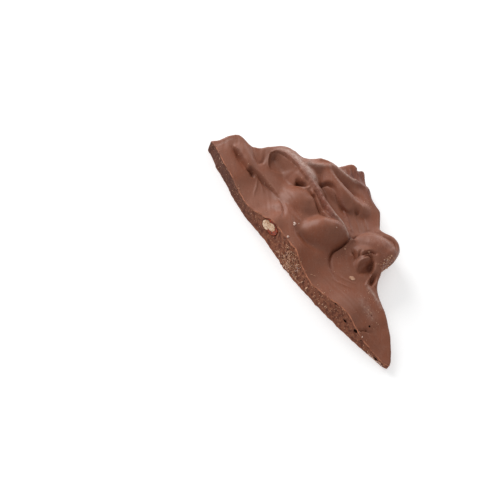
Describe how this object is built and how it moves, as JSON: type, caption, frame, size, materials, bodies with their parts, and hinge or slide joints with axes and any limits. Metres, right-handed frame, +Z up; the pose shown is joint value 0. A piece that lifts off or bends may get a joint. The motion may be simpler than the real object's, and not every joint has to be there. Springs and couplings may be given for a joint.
{
  "type": "chocolate bark",
  "caption": "Irregular snapped piece of milk chocolate bark with a flat underside, a folded top over whole nuts and an almond showing in the snapped edge.",
  "frame": {"origin": "middle of the flat underside's box, on the plane that the piece rests on", "axes": "+X along the snapped edge towards the thin tip, +Y back from the snapped edge, +Z up out of the stirred top"},
  "size_m": [0.115, 0.0556, 0.0161],
  "materials": {
    "milk_chocolate": "soft satin, rough where it is snapped",
    "almond": "matte cut kernel"
  },
  "bodies": {
    "root": {"chocolate": "milk_chocolate", "nut": "almond"}
  },
  "joints": []
}
